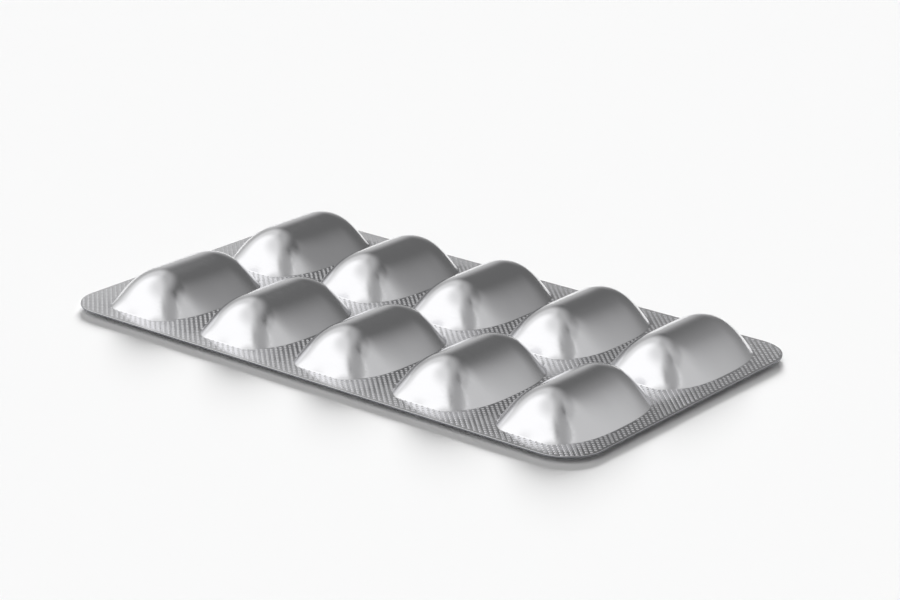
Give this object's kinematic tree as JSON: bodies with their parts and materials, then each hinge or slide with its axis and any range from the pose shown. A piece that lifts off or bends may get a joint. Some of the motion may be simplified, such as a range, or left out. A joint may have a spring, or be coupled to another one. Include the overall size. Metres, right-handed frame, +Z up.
{
  "type": "foil blister pack",
  "caption": "Flat sealed foil card with rows of formed loaf-shaped pockets, each holding one tablet, and a fine knurled seal around them.",
  "frame": {"origin": "under the middle of the card, on the surface that the pack lies on", "axes": "+X along the card's long side, +Y across the card along each pocket, +Z up out of the formed pockets"},
  "size_m": [0.11, 0.065, 0.0077],
  "materials": {
    "foil": "satin"
  },
  "bodies": {
    "root": {"sealed_blister_pack": "foil"}
  },
  "joints": []
}
